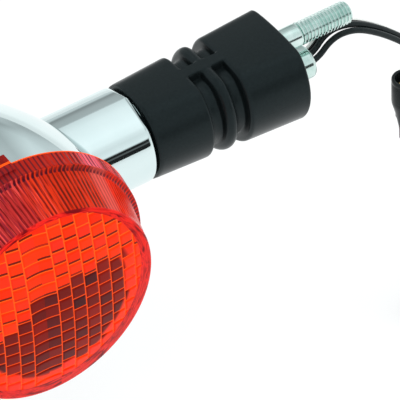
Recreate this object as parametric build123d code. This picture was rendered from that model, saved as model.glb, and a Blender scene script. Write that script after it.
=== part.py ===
from build123d import *
import os
from math import sqrt, cos, sin, tan, radians, pi

# ---------------------------------------------------------------------------
# Turn signal indicator: round prism lens on a bullet-shaped chromed bowl, with
# a flexible rubber stalk that ends in a threaded stud and a wire ferrule.
# Row frame, millimetres: +X along the stud, away from the lamp; the lens faces
# -Y; +Z is up. The origin is on the stud's axis, where the stud leaves the
# stalk's end face. The model is laid out about the stalk's own axis, which
# runs SZ below the stud, and is shifted by SZ when each piece is written.
# ---------------------------------------------------------------------------

SZ = -6.4            # height of the stalk's axis (and of the lens axis) from the origin
XL = -88.4           # X of the lens axis

# bowl and lens: local frame, +Z towards the front, radius about the lens axis
BOWL_A = 30.6        # bowl's outer radius at its widest
BOWL_B = 53.5        # half length of the bowl's ellipse
BOWL_Z = 22.5        # plane of the ellipse's centre
WALL = 2.0
RIM_Z = 21.5         # bowl's front face
GASKET_Z = 22.3
FL_Z0, FL_Z1 = 22.5, 27.05      # lens flange, back and front
FL_R0, FL_R1 = 31.8, 31.1
BAR_R0, BAR_R1 = 29.7, 26.9     # lens barrel at the flange and at the front rim
BAR_Z0, BAR_Z1 = 27.5, 38.0
DOME_Z = 41.6        # top of the lens face
LENS_T = 2.0
SPIG_R, SPIG_Z = 27.9, 18.5     # lens spigot that enters the bowl

# collar and stalk
COL_R = 12.5
COL_X = -42.7        # end of the collar
COL_BORE = 10.45
RUB_X = -42.4        # shoulder of the stalk, just off the collar
BULK_X = -58.5       # outer face of the bulkhead between bowl and collar
RIDGE_Z = 11.9       # shallow ridge along the collar's top
RUB_R0, RUB_R1 = 12.3, 14.85    # stalk's radius at the collar and at the end face
RUB_T0, RUB_T1 = 11.35, 11.5    # height of the stalk's flat top
SPUR_R = 10.3        # rubber spigot inside the collar
SPUR_X = -56.0
GROOVES = ((-27.1, -23.5), (-20.1, -17.1))
FLOOR_R = 10.8
WEB = 3.8            # width of the webs that cross the grooves, top and bottom
FLEX_X = -22.1

# stud, ferrule, wires
STUD_R = 3.0         # M6 x 1
STUD_Z = 6.4         # above the stalk's axis
STUD_L = 20.8
FER_R, FER_X, FER_Z = 4.4, 8.9, -3.6
FER_BORE = 2.9
WIRE_R = 0.8
CORD_X0 = 5.0        # where the free leads start, inside the ferrule's mouth

os.makedirs("parts", exist_ok=True)


def put(name, shape):
    export_step(Pos(0, 0, SZ) * shape, "parts/%s.step" % name)


def lens_frame(shape):
    # local +Z becomes -Y, local +Y becomes +Z
    return Pos(XL, 0, 0) * (Rot(90, 0, 0) * shape)


def spin(pts_or_edges):
    face = make_face(Plane.XZ * pts_or_edges)
    return revolve(face, Axis.Z, 360)


def poly_spin(pts):
    return spin(Polyline(*pts, close=True))


def tube(pts, r, show=None):
    """Round tube along straight runs joined by tangent arcs."""
    v = [Vector(*p) for p in pts]
    runs = [(v[i + 1] - v[i]).length for i in range(len(v) - 1)]
    radii = []
    for i in range(1, len(v) - 1):
        turn = (v[i] - v[i - 1]).get_angle(v[i + 1] - v[i])
        radii.append(0.45 * min(runs[i - 1], runs[i]) / tan(radians(turn / 2)))
    if len(v) > 2:
        path = FilletPolyline(*v, radius=radii)
    else:
        path = Line(v[0], v[1])
    sec = Plane(origin=v[0], z_dir=(v[1] - v[0]).normalized()) * Circle(r)
    body = sweep(sec, path=path)
    if show:
        print(show, "length %.1f mm, volume/section %.1f mm, radii" % (path.length, body.volume / (pi * r * r)),
              ["%.1f" % q for q in radii], "runs", ["%.1f" % q for q in runs])
    return body


# --------------------------------------------------------------- bowl + collar
def ellipsoid(a, b):
    arc = EllipticalCenterArc((0, BOWL_Z), a, b, start_angle=-90, arc_size=90)
    prof = arc + Line((a, BOWL_Z), (0, BOWL_Z)) + Line((0, BOWL_Z), (0, BOWL_Z - b))
    return lens_frame(spin(prof))


outer = ellipsoid(BOWL_A, BOWL_B)
inner = ellipsoid(BOWL_A - WALL, BOWL_B - WALL)


def roofed(r, zr, slope, fil):
    # circle with a shallow two-sided roof; section in the YZ plane
    roof = make_face(Polyline((-30, zr - 30 * tan(radians(slope))), (0, zr), (30, zr - 30 * tan(radians(slope))),
                              (30, 40), (-30, 40), close=True))
    s = Circle(r) - roof
    vs = [q for q in s.vertices() if abs(q.X) > 2.0]
    return fillet(vs, fil)


def flat_top(r, zt, fil):
    s = Circle(r) - Pos(0, zt + 20) * Rectangle(80, 40)
    vs = [q for q in s.vertices() if q.Y > zt - 0.5]
    return fillet(vs, fil)


# plane whose local x is +Y, local y is +Z, normal +X
def plane_x(x):
    return Plane(origin=(x, 0, 0), x_dir=(0, 1, 0), z_dir=(1, 0, 0))


def cyl_x(x0, x1, r, y=0.0, z=0.0):
    return extrude(plane_x(x0) * (Pos(y, z) * Circle(r)), x1 - x0)


collar = extrude(plane_x(-72) * roofed(COL_R, RIDGE_Z, 13, 4.0), COL_X + 72)
end_edges = [e for e in collar.edges() if abs(e.center().X - COL_X) < 1e-3]
collar = fillet(end_edges, 1.1)

boss_pts = [(0, 21.0), (0, -21.0)]
shell = outer + collar
shell = shell - inner
bosses = [lens_frame(Pos(x, y, -6) * Cylinder(3.2, 19.8, align=(Align.CENTER, Align.CENTER, Align.MIN))) for x, y in boss_pts]
for b in bosses:
    shell = shell + (b & outer)
# front face of the bowl
shell = shell - lens_frame(Pos(0, 0, RIM_Z + 20) * Cylinder(60, 40))
# collar's bore, wire hole and screw holes in the bulkhead
shell = shell - cyl_x(BULK_X, COL_X + 5, COL_BORE)
shell = shell - cyl_x(-75, -50, 3.4, 0, FER_Z)
SCREW_Y, SCREW_Z = 6.3, 3.2
for s in (-1, 1):
    shell = shell - cyl_x(-75, -50, 2.15, s * SCREW_Y, SCREW_Z)
    shell = shell - cyl_x(-75, -61.0, 4.0, s * SCREW_Y, SCREW_Z)
for x, y in boss_pts:
    shell = shell - lens_frame(Pos(x, y, 2) * Cylinder(1.25, 20, align=(Align.CENTER, Align.CENTER, Align.MIN)))
put("housing_shell", shell)

# --------------------------------------------------------------- gasket
put("lens_gasket", lens_frame(poly_spin([(28.75, RIM_Z), (30.35, RIM_Z), (30.35, GASKET_Z), (28.75, GASKET_Z)])))

# --------------------------------------------------------------- lens
RIMF = 0.7
outer_prof = (Line((0, SPIG_Z), (SPIG_R, SPIG_Z)) + Line((SPIG_R, SPIG_Z), (SPIG_R, FL_Z0))
              + Line((SPIG_R, FL_Z0), (FL_R0, FL_Z0)) + Line((FL_R0, FL_Z0), (FL_R1, FL_Z1))
              + Line((FL_R1, FL_Z1), (BAR_R0, BAR_Z0)) + Line((BAR_R0, BAR_Z0), (BAR_R1, BAR_Z1))
              + ThreePointArc((BAR_R1, BAR_Z1), (BAR_R1 - 0.25, BAR_Z1 + 0.5), (BAR_R1 - 0.8, BAR_Z1 + 0.75)))
r1, z1 = BAR_R1 - 0.8, BAR_Z1 + 0.75
sag = DOME_Z - z1
RD = (r1 * r1 + sag * sag) / (2 * sag)
mid = r1 * 0.5
outer_prof = outer_prof + ThreePointArc((r1, z1), (mid, DOME_Z - RD + sqrt(RD * RD - mid * mid)), (0, DOME_Z)) \
    + Line((0, DOME_Z), (0, SPIG_Z))
lens_outer = spin(outer_prof)
r2, z2, top2 = 24.6, 36.9, DOME_Z - LENS_T
sag2 = top2 - z2
RD2 = (r2 * r2 + sag2 * sag2) / (2 * sag2)
m2 = r2 * 0.5
inner_prof = (Line((0, SPIG_Z - 1), (26.2, SPIG_Z - 1)) + Line((26.2, SPIG_Z - 1), (27.0, 27.0)) + Line((27.0, 27.0), (r2, z2))
              + ThreePointArc((r2, z2), (m2, top2 - RD2 + sqrt(RD2 * RD2 - m2 * m2)), (0, top2))
              + Line((0, top2), (0, SPIG_Z - 1)))
lens_inner = spin(inner_prof)
lens = lens_outer - lens_inner
# locating tongue at the top, reaching back over the bowl
tongue_ring = poly_spin([(30.95, 19.5), (32.15, 19.5), (32.15, 25.0), (30.5, 25.0), (30.5, 22.5), (30.95, 22.5)])
tongue = tongue_ring & (Pos(-2.75, 31, 22) * Box(8.2, 8, 12))
lens = lens + tongue
put("lens", lens_frame(lens))

# --------------------------------------------------------------- reflector
refl = poly_spin([(9.0, 2.0), (11.5, 2.0), (13.6, 5.2), (15.6, 9.4), (17.0, 13.8), (26.4, 13.8), (26.4, 14.6),
                  (16.4, 14.6), (14.9, 9.7), (13.0, 5.7), (11.1, 2.8), (9.0, 2.8)])
for x, y in boss_pts:
    refl = refl - Pos(x, y, 10) * Cylinder(1.7, 12)
put("reflector", lens_frame(refl))
rs = None
for x, y in boss_pts:
    q = Pos(x, y, 14.6) * Cylinder(2.7, 1.6, align=(Align.CENTER, Align.CENTER, Align.MIN))
    q = fillet([e for e in q.edges() if e.center().Z > 16.1], 0.7)
    q = q + Pos(x, y, 6) * Cylinder(1.2, 8.6, align=(Align.CENTER, Align.CENTER, Align.MIN))
    q = q - Pos(x, y, 15.9) * Box(3.4, 0.6, 1.2)
    rs = q if rs is None else rs + q
put("reflector_screws", lens_frame(rs))

# --------------------------------------------------------------- bulb socket
sock = poly_spin([(7.65, 2.0), (10.8, 2.0), (10.8, 1.2), (8.35, 1.2), (8.35, -22.8), (4.5, -22.8), (4.5, -22.1), (7.65, -22.1)])
for a in (0, 180):
    slot = Pos(8, 0, -2.6) * Box(4.4, 2.5, 12.4)
    # sideways lock window: 20 degrees round from the entry slot
    win = None
    for k in range(0, 21, 5):
        wbox = Rot(0, 0, k) * (Pos(8, 0, -7.05) * Box(4.4, 2.5, 3.9))
        win = wbox if win is None else win + wbox
    sock = sock - Rot(0, 0, a) * slot - Rot(0, 0, a) * win
put("bulb_socket", lens_frame(sock))

# --------------------------------------------------------------- contact carriage (sprung)
disc = Pos(0, 0, -16.6) * Cylinder(7.4, 2.2, align=(Align.CENTER, Align.CENTER, Align.MIN))
for s in (-1, 1):
    disc = disc - Pos(s * 3.0, 0, -18) * Cylinder(1.3, 6, align=(Align.CENTER, Align.CENTER, Align.MIN))
put("contact_disc", lens_frame(disc))
ct = None
for s in (-1, 1):
    q = Pos(s * 3.0, 0, -17.4) * Cylinder(1.3, 3.0, align=(Align.CENTER, Align.CENTER, Align.MIN))
    q = q + Pos(s * 3.0, 0, -17.4) * Cylinder(1.7, 0.7, align=(Align.CENTER, Align.CENTER, Align.MIN))
    ct = q if ct is None else ct + q
put("contact_studs", lens_frame(ct))
# coil spring between the disc and the back of the socket
coil_r, wire = 5.9, 0.35
hel = Helix(pitch=1.1, height=4.4, radius=coil_r)
spr = sweep(Plane(origin=hel @ 0, z_dir=hel % 0) * Circle(wire), path=hel)
put("contact_spring", lens_frame(Pos(0, 0, -21.65) * spr))

# --------------------------------------------------------------- bulb
LOCK = 20.0   # angle at which the pins rest in the lock window
base = poly_spin([(0, -12.9), (5.6, -12.9), (7.1, -12.3), (7.45, -11.6), (7.45, 2.6), (7.0, 3.0), (6.4, 3.0), (6.4, -11.0), (0, -11.0)])
put("bulb_base", lens_frame(base))
tips = None
for s in (-1, 1):
    q = Pos(s * 3.0, 0, -14.2) * Cylinder(1.15, 1.3, align=(Align.CENTER, Align.CENTER, Align.MIN))
    tips = q if tips is None else tips + q
put("bulb_contacts", lens_frame(tips))
pins = None
for a in (LOCK, LOCK + 180):
    q = Rot(0, 0, a) * (Pos(7.45, 0, -6.4) * (Rot(0, 90, 0) * Cylinder(1.0, 1.5, align=(Align.CENTER, Align.CENTER, Align.MIN))))
    q = q - Pos(0, 0, -6.4) * Cylinder(7.45, 4)
    pins = q if pins is None else pins + q
put("bulb_pins", lens_frame(pins))


def globe(d):
    r = 12.4 - d
    cone = poly_spin([(0, d), (6.3 - d, d), (6.3 - d, 3.4), (7.6 - d, 6.6), (10.2 - d, 11.6), (r, 18.5), (0, 18.5)])
    return cone + Pos(0, 0, 18.5) * Sphere(r)


glass = globe(0.0) - globe(0.8)
put("bulb_glass", lens_frame(glass))
fil = Pos(0, 0, 0.8) * Cylinder(3.2, 5.0, align=(Align.CENTER, Align.CENTER, Align.MIN))
for x in (-2.2, -0.75, 0.75, 2.2):
    top = 17.0 if abs(x) > 1 else 14.0
    fil = fil + Pos(x, 0, 5.6) * Cylinder(0.28, top - 5.6, align=(Align.CENTER, Align.CENTER, Align.MIN))
for zt, w in ((16.8, 5.0), (13.8, 2.1)):
    fil = fil + Pos(0, 0, zt) * (Rot(0, 90, 0) * Cylinder(0.3, w))
put("filament_mount", lens_frame(fil))

# --------------------------------------------------------------- rubber stalk
s0 = plane_x(RUB_X) * flat_top(RUB_R0, RUB_T0, 2.6)
s1 = plane_x(0) * flat_top(RUB_R1, RUB_T1, 3.4)
stalk = loft([s0.face() if hasattr(s0, "face") else s0, s1.face() if hasattr(s1, "face") else s1], ruled=True)
end_edges = [e for e in stalk.edges() if abs(e.center().X) < 1e-3]
stalk = fillet(end_edges, 0.8)
webs = Pos(FLEX_X, 0, 0) * Box(30, WEB, 60)
for a, b in GROOVES:
    ring = cyl_x(a, b, 20) - cyl_x(a, b, FLOOR_R)
    stalk = stalk - (ring - webs)
stalk = stalk + cyl_x(SPUR_X, RUB_X, SPUR_R)
stalk = stalk - cyl_x(SPUR_X - 1, -6.0, 3.2, 0, FER_Z)
# cavities for the bonded base plate, the stud's shoulder and the ferrule
PL0, PL1, PLR = -6.0, -3.2, 11.6
plate_outline = flat_top(PLR, 9.9, 1.5)
stalk = stalk - extrude(plane_x(PL0) * plate_outline, PL1 - PL0)
stalk = stalk - cyl_x(PL1, 1, 3.4, 0, STUD_Z)
stalk = stalk - cyl_x(PL1, 1, FER_R, 0, FER_Z)
put("rubber_stalk", stalk)

# --------------------------------------------------------------- steel inserts
plate = extrude(plane_x(PL0) * plate_outline, PL1 - PL0)
plate = plate - cyl_x(-10, 0, 2.4, 0, STUD_Z) - cyl_x(-10, 0, 3.3, 0, FER_Z)
put("base_plate", plate)

stud = cyl_x(PL0, PL1, 2.4, 0, STUD_Z) + cyl_x(PL1, 0, 3.4, 0, STUD_Z)
body = cyl_x(0, STUD_L, STUD_R, 0, STUD_Z)
body = chamfer([e for e in body.edges() if abs(e.center().X - STUD_L) < 1e-3], 0.7)
stud = stud + body
put("mounting_stud", stud)

fer = cyl_x(PL1, FER_X, FER_R, 0, FER_Z)
fer = fillet([e for e in fer.edges() if abs(e.center().X - FER_X) < 1e-3], 1.1)
fer = fer + cyl_x(PL0, PL1, 3.3, 0, FER_Z)
fer = fer - cyl_x(PL0 - 1, FER_X + 1, FER_BORE, 0, FER_Z)
put("wire_ferrule", fer)

# plate bonded to the spigot's end, and the screws that clamp it to the bulkhead
hp = cyl_x(BULK_X, SPUR_X, 10.2) - cyl_x(-70, -50, 3.4, 0, FER_Z)
for s in (-1, 1):
    hp = hp - cyl_x(-70, -50, 1.9, s * SCREW_Y, SCREW_Z)
put("head_plate", hp)
scr = None
for s in (-1, 1):
    q = cyl_x(-63.2, -61.0, 3.5, s * SCREW_Y, SCREW_Z)
    q = fillet([e for e in q.edges() if abs(e.center().X + 63.2) < 1e-3], 0.8)
    q = q + cyl_x(-61.0, -56.2, 1.9, s * SCREW_Y, SCREW_Z)
    q = q - Pos(-63.2, s * SCREW_Y, SCREW_Z) * Box(1.6, 0.9, 4.6) - Pos(-63.2, s * SCREW_Y, SCREW_Z) * Box(1.6, 4.6, 0.9)
    scr = q if scr is None else scr + q
put("stalk_screws", scr)

# --------------------------------------------------------------- leads inside the lamp
LEADS = {"lower_black": (-1, -1.2, -0.35), "upper_black": (0, 0.3, 0.45), "white": (1, 2.0, 0.35)}
inner_leads = None
for nm, (k, y0, n0) in LEADS.items():
    z0 = FER_Z + n0
    zb = FER_Z + 1.5 + 1.9 * k
    pts = [(CORD_X0, y0, z0), (-50, y0, z0), (-63, 0.4 * y0 + 0.1, FER_Z + 1.75 * k), (-71, 4.5, zb), (-74.5, 12, zb),
           (-76, 19.5, zb), (-80, 25.2, zb * 0.5 + 0.95 * k), (-86.2, 25.4, 1.9 * k), (-88.4, 21.5, 1.9 * k)]
    t = tube(pts, WIRE_R, "inner lead " + nm)
    inner_leads = t if inner_leads is None else Compound([*inner_leads.solids(), *t.solids()])
put("inner_leads", inner_leads)

# --------------------------------------------------------------- free leads
ROUTE = [(5.0, -3.6), (10.0, -3.6), (15.0, 2.0), (22.0, 1.2), (29.4, -3.7), (36.9, -10.7), (44.3, -19.2), (48.6, -30.5),
         (50.2, -49.0), (48.9, -66.0), (48.7, -80.5), (50.9, -89.5), (51.9, -95.5), (52.5, -100.95), (49.05, -104.4),
         (44.15, -104.4), (40.7, -100.95), (41.2, -95.5), (42.9, -89.3), (45.2, -80.5), (45.0, -70.5), (43.3, -62.5),
         (42.9, -57.5), (42.9, -53.0)]
N = len(ROUTE)


def table(knots):
    """Piecewise linear list over the route's corner numbers."""
    out = []
    for i in range(N):
        for (i0, v0), (i1, v1) in zip(knots, knots[1:]):
            if i0 <= i <= i1:
                out.append(v0 + (v1 - v0) * (i - i0) / (i1 - i0))
                break
    return out


# sideways place (Y) and in-plane offset of each lead at the route's corners
SIDE = {"upper_black": table([(0, 0.3), (6, 0.3), (9, 0.0), (N - 1, 0.0)]),
        "lower_black": table([(0, -1.2), (6, -1.25), (9, -1.85), (N - 5, -1.85), (N - 4, -2.9), (N - 3, -5.3), (N - 2, -6.5), (N - 1, -6.5)]),
        "white": table([(0, 2.0), (6, 2.0), (9, 1.85), (N - 5, 1.85), (N - 4, 2.9), (N - 3, 5.3), (N - 2, 6.5), (N - 1, 6.5)])}
LIFT = {"upper_black": table([(0, 0.45), (1, 0.45), (2, 0.7), (3, 0.45), (6, 0.45), (9, 0.0), (N - 1, 0.0)]),
        "lower_black": table([(0, -0.35), (1, -0.35), (2, -0.65), (3, -0.35), (6, -0.35), (9, 0.0), (N - 1, 0.0)]),
        "white": table([(0, 0.35), (1, 0.35), (2, 0.9), (3, 0.2), (6, 0.05), (9, 0.0), (N - 1, 0.0)])}


# how far each corner is pushed back from the stud's front, along one slanting line
PUSH = table([(0, 0.0), (1, 0.0), (2, 2.7), (4, 2.7), (5, 2.2), (7, 0.0), (N - 1, 0.0)])


def lead_points(name):
    pts = []
    for i, (x, z) in enumerate(ROUTE):
        ds = []
        if i > 0:
            dx, dz = x - ROUTE[i - 1][0], z - ROUTE[i - 1][1]
            ds.append((dx / sqrt(dx * dx + dz * dz), dz / sqrt(dx * dx + dz * dz)))
        if i < N - 1:
            dx, dz = ROUTE[i + 1][0] - x, ROUTE[i + 1][1] - z
            ds.append((dx / sqrt(dx * dx + dz * dz), dz / sqrt(dx * dx + dz * dz)))
        tx, tz = sum(d[0] for d in ds), sum(d[1] for d in ds)
        m = sqrt(tx * tx + tz * tz)
        tx, tz = tx / m, tz / m
        c = tx * ds[0][0] + tz * ds[0][1]
        off = LIFT[name][i] / c
        t = PUSH[i]
        pts.append((x - tz * off + 0.406 * t, SIDE[name][i] + 0.628 * t, z + tx * off - 0.664 * t))
    return pts


for nm in SIDE:
    put("lead_" + nm, tube(lead_points(nm), WIRE_R, "lead " + nm))

# tie round the hank
TX, TZ = 46.95, -80.5
tie = Pos(TX, 0, TZ) * (extrude(fillet(Rectangle(7.6, 7.4).vertices(), 2.4), 1.5, both=True)
                        - extrude(fillet(Rectangle(6.6, 6.4).vertices(), 1.9), 1.5, both=True))
put("lead_tie", tie)

# boots and bullet terminals on the ends of the leads
BOOT_X, LOW = 42.9, 5.5        # place of the boots, and how far they hang below their drawing height
MOUTH, SH = -26.5, -34.5
boots, bullets = [], []
for k in (-1, 0, 1):
    ex, ey = BOOT_X, 6.5 * k
    p = [(0.9, -47.0), (1.4, -47.5), (1.45, -43.5), (3.1, -36.4), (3.5, SH), (3.5, MOUTH - 0.4), (3.3, MOUTH), (2.45, MOUTH), (2.45, -39.4), (0.9, -42.3)]
    boots.append(Pos(ex, ey, -LOW) * poly_spin(p))
    b = [(0, -47.5), (0.8, -47.5), (0.8, -41.9), (2.1, -39.6), (2.1, -33.0), (1.7, -32.6), (1.7, -31.2), (2.1, -30.8), (2.1, -29.6), (1.4, -28.6), (0, -28.6)]
    bullets.append(Pos(ex, ey, -LOW) * poly_spin(b))
put("terminal_boots", Compound(boots))
put("bullet_terminals", Compound(bullets))
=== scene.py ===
import bpy
import math
import numpy as np
from mathutils import Matrix, Vector


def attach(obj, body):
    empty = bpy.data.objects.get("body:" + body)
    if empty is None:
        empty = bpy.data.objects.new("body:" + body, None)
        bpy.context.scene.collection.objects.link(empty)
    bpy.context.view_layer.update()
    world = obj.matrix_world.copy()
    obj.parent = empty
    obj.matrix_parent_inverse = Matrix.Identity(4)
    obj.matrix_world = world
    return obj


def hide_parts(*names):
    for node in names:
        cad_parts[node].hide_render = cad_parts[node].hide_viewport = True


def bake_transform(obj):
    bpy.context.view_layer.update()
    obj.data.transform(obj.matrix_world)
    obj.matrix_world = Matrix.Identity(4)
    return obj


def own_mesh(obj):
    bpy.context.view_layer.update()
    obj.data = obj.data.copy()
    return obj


# Turn signal indicator. Sizes below are millimetres about the stalk's own
# axis; the row frame's origin is SZ higher, on the stud.
SZ = -6.4
XL = -88.4
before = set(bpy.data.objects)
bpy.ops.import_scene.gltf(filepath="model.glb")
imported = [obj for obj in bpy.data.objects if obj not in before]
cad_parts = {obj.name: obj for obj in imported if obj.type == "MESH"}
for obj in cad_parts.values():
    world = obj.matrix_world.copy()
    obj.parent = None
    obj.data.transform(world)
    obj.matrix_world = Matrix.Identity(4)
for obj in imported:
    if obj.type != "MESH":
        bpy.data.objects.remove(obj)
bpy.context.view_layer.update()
MM = 0.001


def row(P):
    P = np.asarray(P, float).reshape(-1, 3)
    return (P + np.array([0.0, 0.0, SZ])) * MM


# ------------------------------------------------------------------ camera
az, el, ro = math.radians(-32.87), math.radians(41.59), math.radians(-1.99)
D, KPX, TX, TY = 800.0, 4.064, 278.29, 63.49
C = np.array([math.cos(el) * math.sin(az) * 0, 0, 0])
C = np.array([-0.4059, -0.6281, 0.6639]); C /= np.linalg.norm(C)
right0 = np.cross(np.array([0, 0, 1.0]), C); right0 /= np.linalg.norm(right0)
up0 = np.cross(C, right0)
r2 = math.cos(ro) * right0 + math.sin(ro) * up0
u2 = -math.sin(ro) * right0 + math.cos(ro) * up0
FPX = KPX * D
d = -C * FPX + r2 * (200 - TX) - u2 * (200 - TY)
tilt = np.linalg.norm(d) / FPX
d /= np.linalg.norm(d)
rc = r2 - d * np.dot(r2, d); rc /= np.linalg.norm(rc)
uc = np.cross(rc, d)
cam_data = bpy.data.cameras.new("camera")
cam = bpy.data.objects.new("camera", cam_data)
bpy.context.scene.collection.objects.link(cam)
cam_data.sensor_width = 36.0
cam_data.lens = 36.0 * FPX * tilt / 400.0
cam_data.clip_start, cam_data.clip_end = 0.01, 60.0
M = Matrix.Identity(4)
pos = row(C * D)[0]
for i in range(3):
    M[i][0], M[i][1], M[i][2], M[i][3] = rc[i], uc[i], -d[i], pos[i]
cam.matrix_world = M
bpy.context.scene.camera = cam
bpy.context.scene.view_settings.view_transform = "Standard"


# ------------------------------------------------------------------ materials
class Mat:
    """A small writer for node materials."""

    def __init__(self, name):
        self.m = bpy.data.materials.new(name)
        self.m.use_nodes = True
        self.t = self.m.node_tree
        self.b = self.t.nodes["Principled BSDF"]
        self.co = self.t.nodes.new("ShaderNodeTexCoord").outputs["Object"]

    def set(self, **kw):
        for k, v in kw.items():
            name = k.replace("_", " ")
            s = self.b.inputs[name]
            if isinstance(v, (int, float)):
                s.default_value = v
            elif isinstance(v, tuple):
                s.default_value = (*v, 1.0) if len(v) == 3 else v
            else:
                self.t.links.new(v, s)
        return self

    def math(self, op, a, b=None, c=None, clamp=False):
        n = self.t.nodes.new("ShaderNodeMath"); n.operation = op; n.use_clamp = clamp
        for i, v in enumerate((a, b, c)):
            if v is None:
                continue
            if isinstance(v, (int, float)):
                n.inputs[i].default_value = v
            else:
                self.t.links.new(v, n.inputs[i])
        return n.outputs[0]

    def xyz(self):
        n = self.t.nodes.new("ShaderNodeSeparateXYZ")
        self.t.links.new(self.co, n.inputs[0])
        return n.outputs[0], n.outputs[1], n.outputs[2]

    def join(self, x, y, z):
        n = self.t.nodes.new("ShaderNodeCombineXYZ")
        for i, v in enumerate((x, y, z)):
            if isinstance(v, (int, float)):
                n.inputs[i].default_value = v
            else:
                self.t.links.new(v, n.inputs[i])
        return n.outputs[0]

    def scaled(self, sx, sy, sz):
        n = self.t.nodes.new("ShaderNodeMapping")
        n.inputs["Scale"].default_value = (sx, sy, sz)
        self.t.links.new(self.co, n.inputs[0])
        return n.outputs[0]

    def noise(self, scale, detail=3.0, rough=0.5, vec=None, dist=0.0):
        n = self.t.nodes.new("ShaderNodeTexNoise")
        n.inputs["Scale"].default_value = scale
        n.inputs["Detail"].default_value = detail
        n.inputs["Roughness"].default_value = rough
        n.inputs["Distortion"].default_value = dist
        self.t.links.new(vec or self.co, n.inputs["Vector"])
        return n.outputs["Fac"]

    def ramp(self, fac, stops, interp="LINEAR"):
        n = self.t.nodes.new("ShaderNodeValToRGB")
        n.color_ramp.interpolation = interp
        e = n.color_ramp.elements
        while len(e) < len(stops):
            e.new(0.5)
        for i, (p, c) in enumerate(stops):
            e[i].position = p
            e[i].color = (c, c, c, 1) if isinstance(c, (int, float)) else (*c, 1)
        self.t.links.new(fac, n.inputs[0])
        return n.outputs["Color"]

    def mix(self, fac, a, b, mode="MIX"):
        n = self.t.nodes.new("ShaderNodeMix"); n.data_type = "RGBA"; n.blend_type = mode
        for s, v in ((n.inputs[0], fac), (n.inputs[6], a), (n.inputs[7], b)):
            if isinstance(v, (int, float)):
                s.default_value = v
            elif isinstance(v, tuple):
                s.default_value = (*v, 1.0)
            else:
                self.t.links.new(v, s)
        return n.outputs[2]

    def step(self, v, a, b):
        """0 below a, 1 above b, smooth between."""
        n = self.t.nodes.new("ShaderNodeMapRange"); n.interpolation_type = "SMOOTHSTEP"
        self.t.links.new(v, n.inputs["Value"])
        n.inputs["From Min"].default_value = min(a, b)
        n.inputs["From Max"].default_value = max(a, b)
        n.inputs["To Min"].default_value = 0.0 if a < b else 1.0
        n.inputs["To Max"].default_value = 1.0 if a < b else 0.0
        return n.outputs["Result"]

    def bump(self, height, strength=0.2, dist=0.0002):
        n = self.t.nodes.new("ShaderNodeBump")
        n.inputs["Strength"].default_value = strength
        n.inputs["Distance"].default_value = dist
        self.t.links.new(height, n.inputs["Height"])
        self.t.links.new(n.outputs[0], self.b.inputs["Normal"])
        return self


def chrome_mat():
    m = Mat("polished_chrome")
    n = m.noise(55.0, 4.0)
    col = m.ramp(n, [(0.3, (0.70, 0.825, 0.825)), (0.7, (0.77, 0.88, 0.88))])
    m.set(Base_Color=col, Metallic=1.0, Roughness=m.ramp(m.noise(220.0, 3.0), [(0.35, 0.035), (0.7, 0.06)]))
    m.bump(m.noise(30.0, 2.0), 0.05, 0.0002)
    return m.m


def metal(name, c0, c1, r0, r1, scale=400.0, stretch=None, metallic=1.0, bump=0.05):
    m = Mat(name)
    v = m.scaled(*stretch) if stretch else None
    n = m.noise(scale, 4.0, 0.6, vec=v)
    m.set(Base_Color=m.ramp(n, [(0.3, c0), (0.7, c1)]), Metallic=metallic, Roughness=m.ramp(m.noise(scale * 0.6, 3.0, 0.5, vec=v), [(0.3, r0), (0.7, r1)]))
    m.bump(n, bump, 0.0001)
    return m.m


def plastic(name, c0, c1, r0, r1, scale=500.0, coat=0.0, bump=0.08, spec=0.5):
    m = Mat(name)
    n = m.noise(scale, 4.0, 0.6)
    m.set(Base_Color=m.ramp(n, [(0.3, c0), (0.7, c1)]), Roughness=m.ramp(m.noise(scale * 0.4, 3.0), [(0.3, r0), (0.7, r1)]))
    m.set(Specular_IOR_Level=spec)
    if coat:
        m.set(Coat_Weight=coat, Coat_Roughness=0.08)
    m.bump(n, bump, 0.0001)
    return m.m


CHROME = chrome_mat()
ZINC = metal("bright_zinc", (0.50, 0.69, 0.64), (0.78, 0.90, 0.87), 0.07, 0.16, 300.0)
ZINC_DULL = metal("plated_steel", (0.62, 0.66, 0.65), (0.74, 0.77, 0.76), 0.28, 0.4, 300.0)
BRASS = metal("brass", (0.70, 0.50, 0.20), (0.80, 0.62, 0.30), 0.2, 0.35, 260.0)
PVC_BLACK = plastic("black_insulation", (0.0055, 0.0095, 0.0100), (0.0110, 0.0170, 0.0180), 0.20, 0.32, 900.0, coat=0.05, spec=0.16)
BOOT = plastic("black_boot", (0.0045, 0.0070, 0.0075), (0.0095, 0.0140, 0.0150), 0.16, 0.26, 600.0, coat=0.10, spec=0.14)
GASKET = plastic("gasket_rubber", (0.02, 0.02, 0.02), (0.05, 0.05, 0.05), 0.6, 0.8, 400.0)
BOARD = plastic("brown_board", (0.16, 0.075, 0.03), (0.24, 0.12, 0.05), 0.45, 0.6, 300.0)


def rubber_mat():
    m = Mat("moulded_rubber")
    x, y, z = m.xyz()
    n = m.noise(1400.0, 4.0, 0.65)
    big = m.noise(60.0, 3.0, 0.5, vec=m.scaled(0.35, 1, 1))
    col = m.ramp(n, [(0.25, (0.0040, 0.0058, 0.0062)), (0.8, (0.0085, 0.0120, 0.0128))])
    # moulding line along the front and the back
    line = m.math("MULTIPLY", m.step(m.math("ABSOLUTE", m.math("ADD", z, 0.0064)), 0.00016, 0.00006),
                  m.step(m.noise(260.0, 2.0, 0.5, vec=m.scaled(1, 0.2, 0.2)), 0.40, 0.55))
    col = m.mix(m.math("MULTIPLY", line, 0.75), col, (0.002, 0.003, 0.003))
    m.set(Base_Color=col, Roughness=m.ramp(big, [(0.3, 0.27), (0.7, 0.34)]), Specular_IOR_Level=0.22, Specular_Tint=(0.72, 0.95, 1.0))
    m.bump(m.math("SUBTRACT", m.math("MULTIPLY", n, 0.25), m.math("MULTIPLY", line, 1.0)), 0.10, 0.00012)
    return m.m


RUBBER = rubber_mat()


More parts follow.
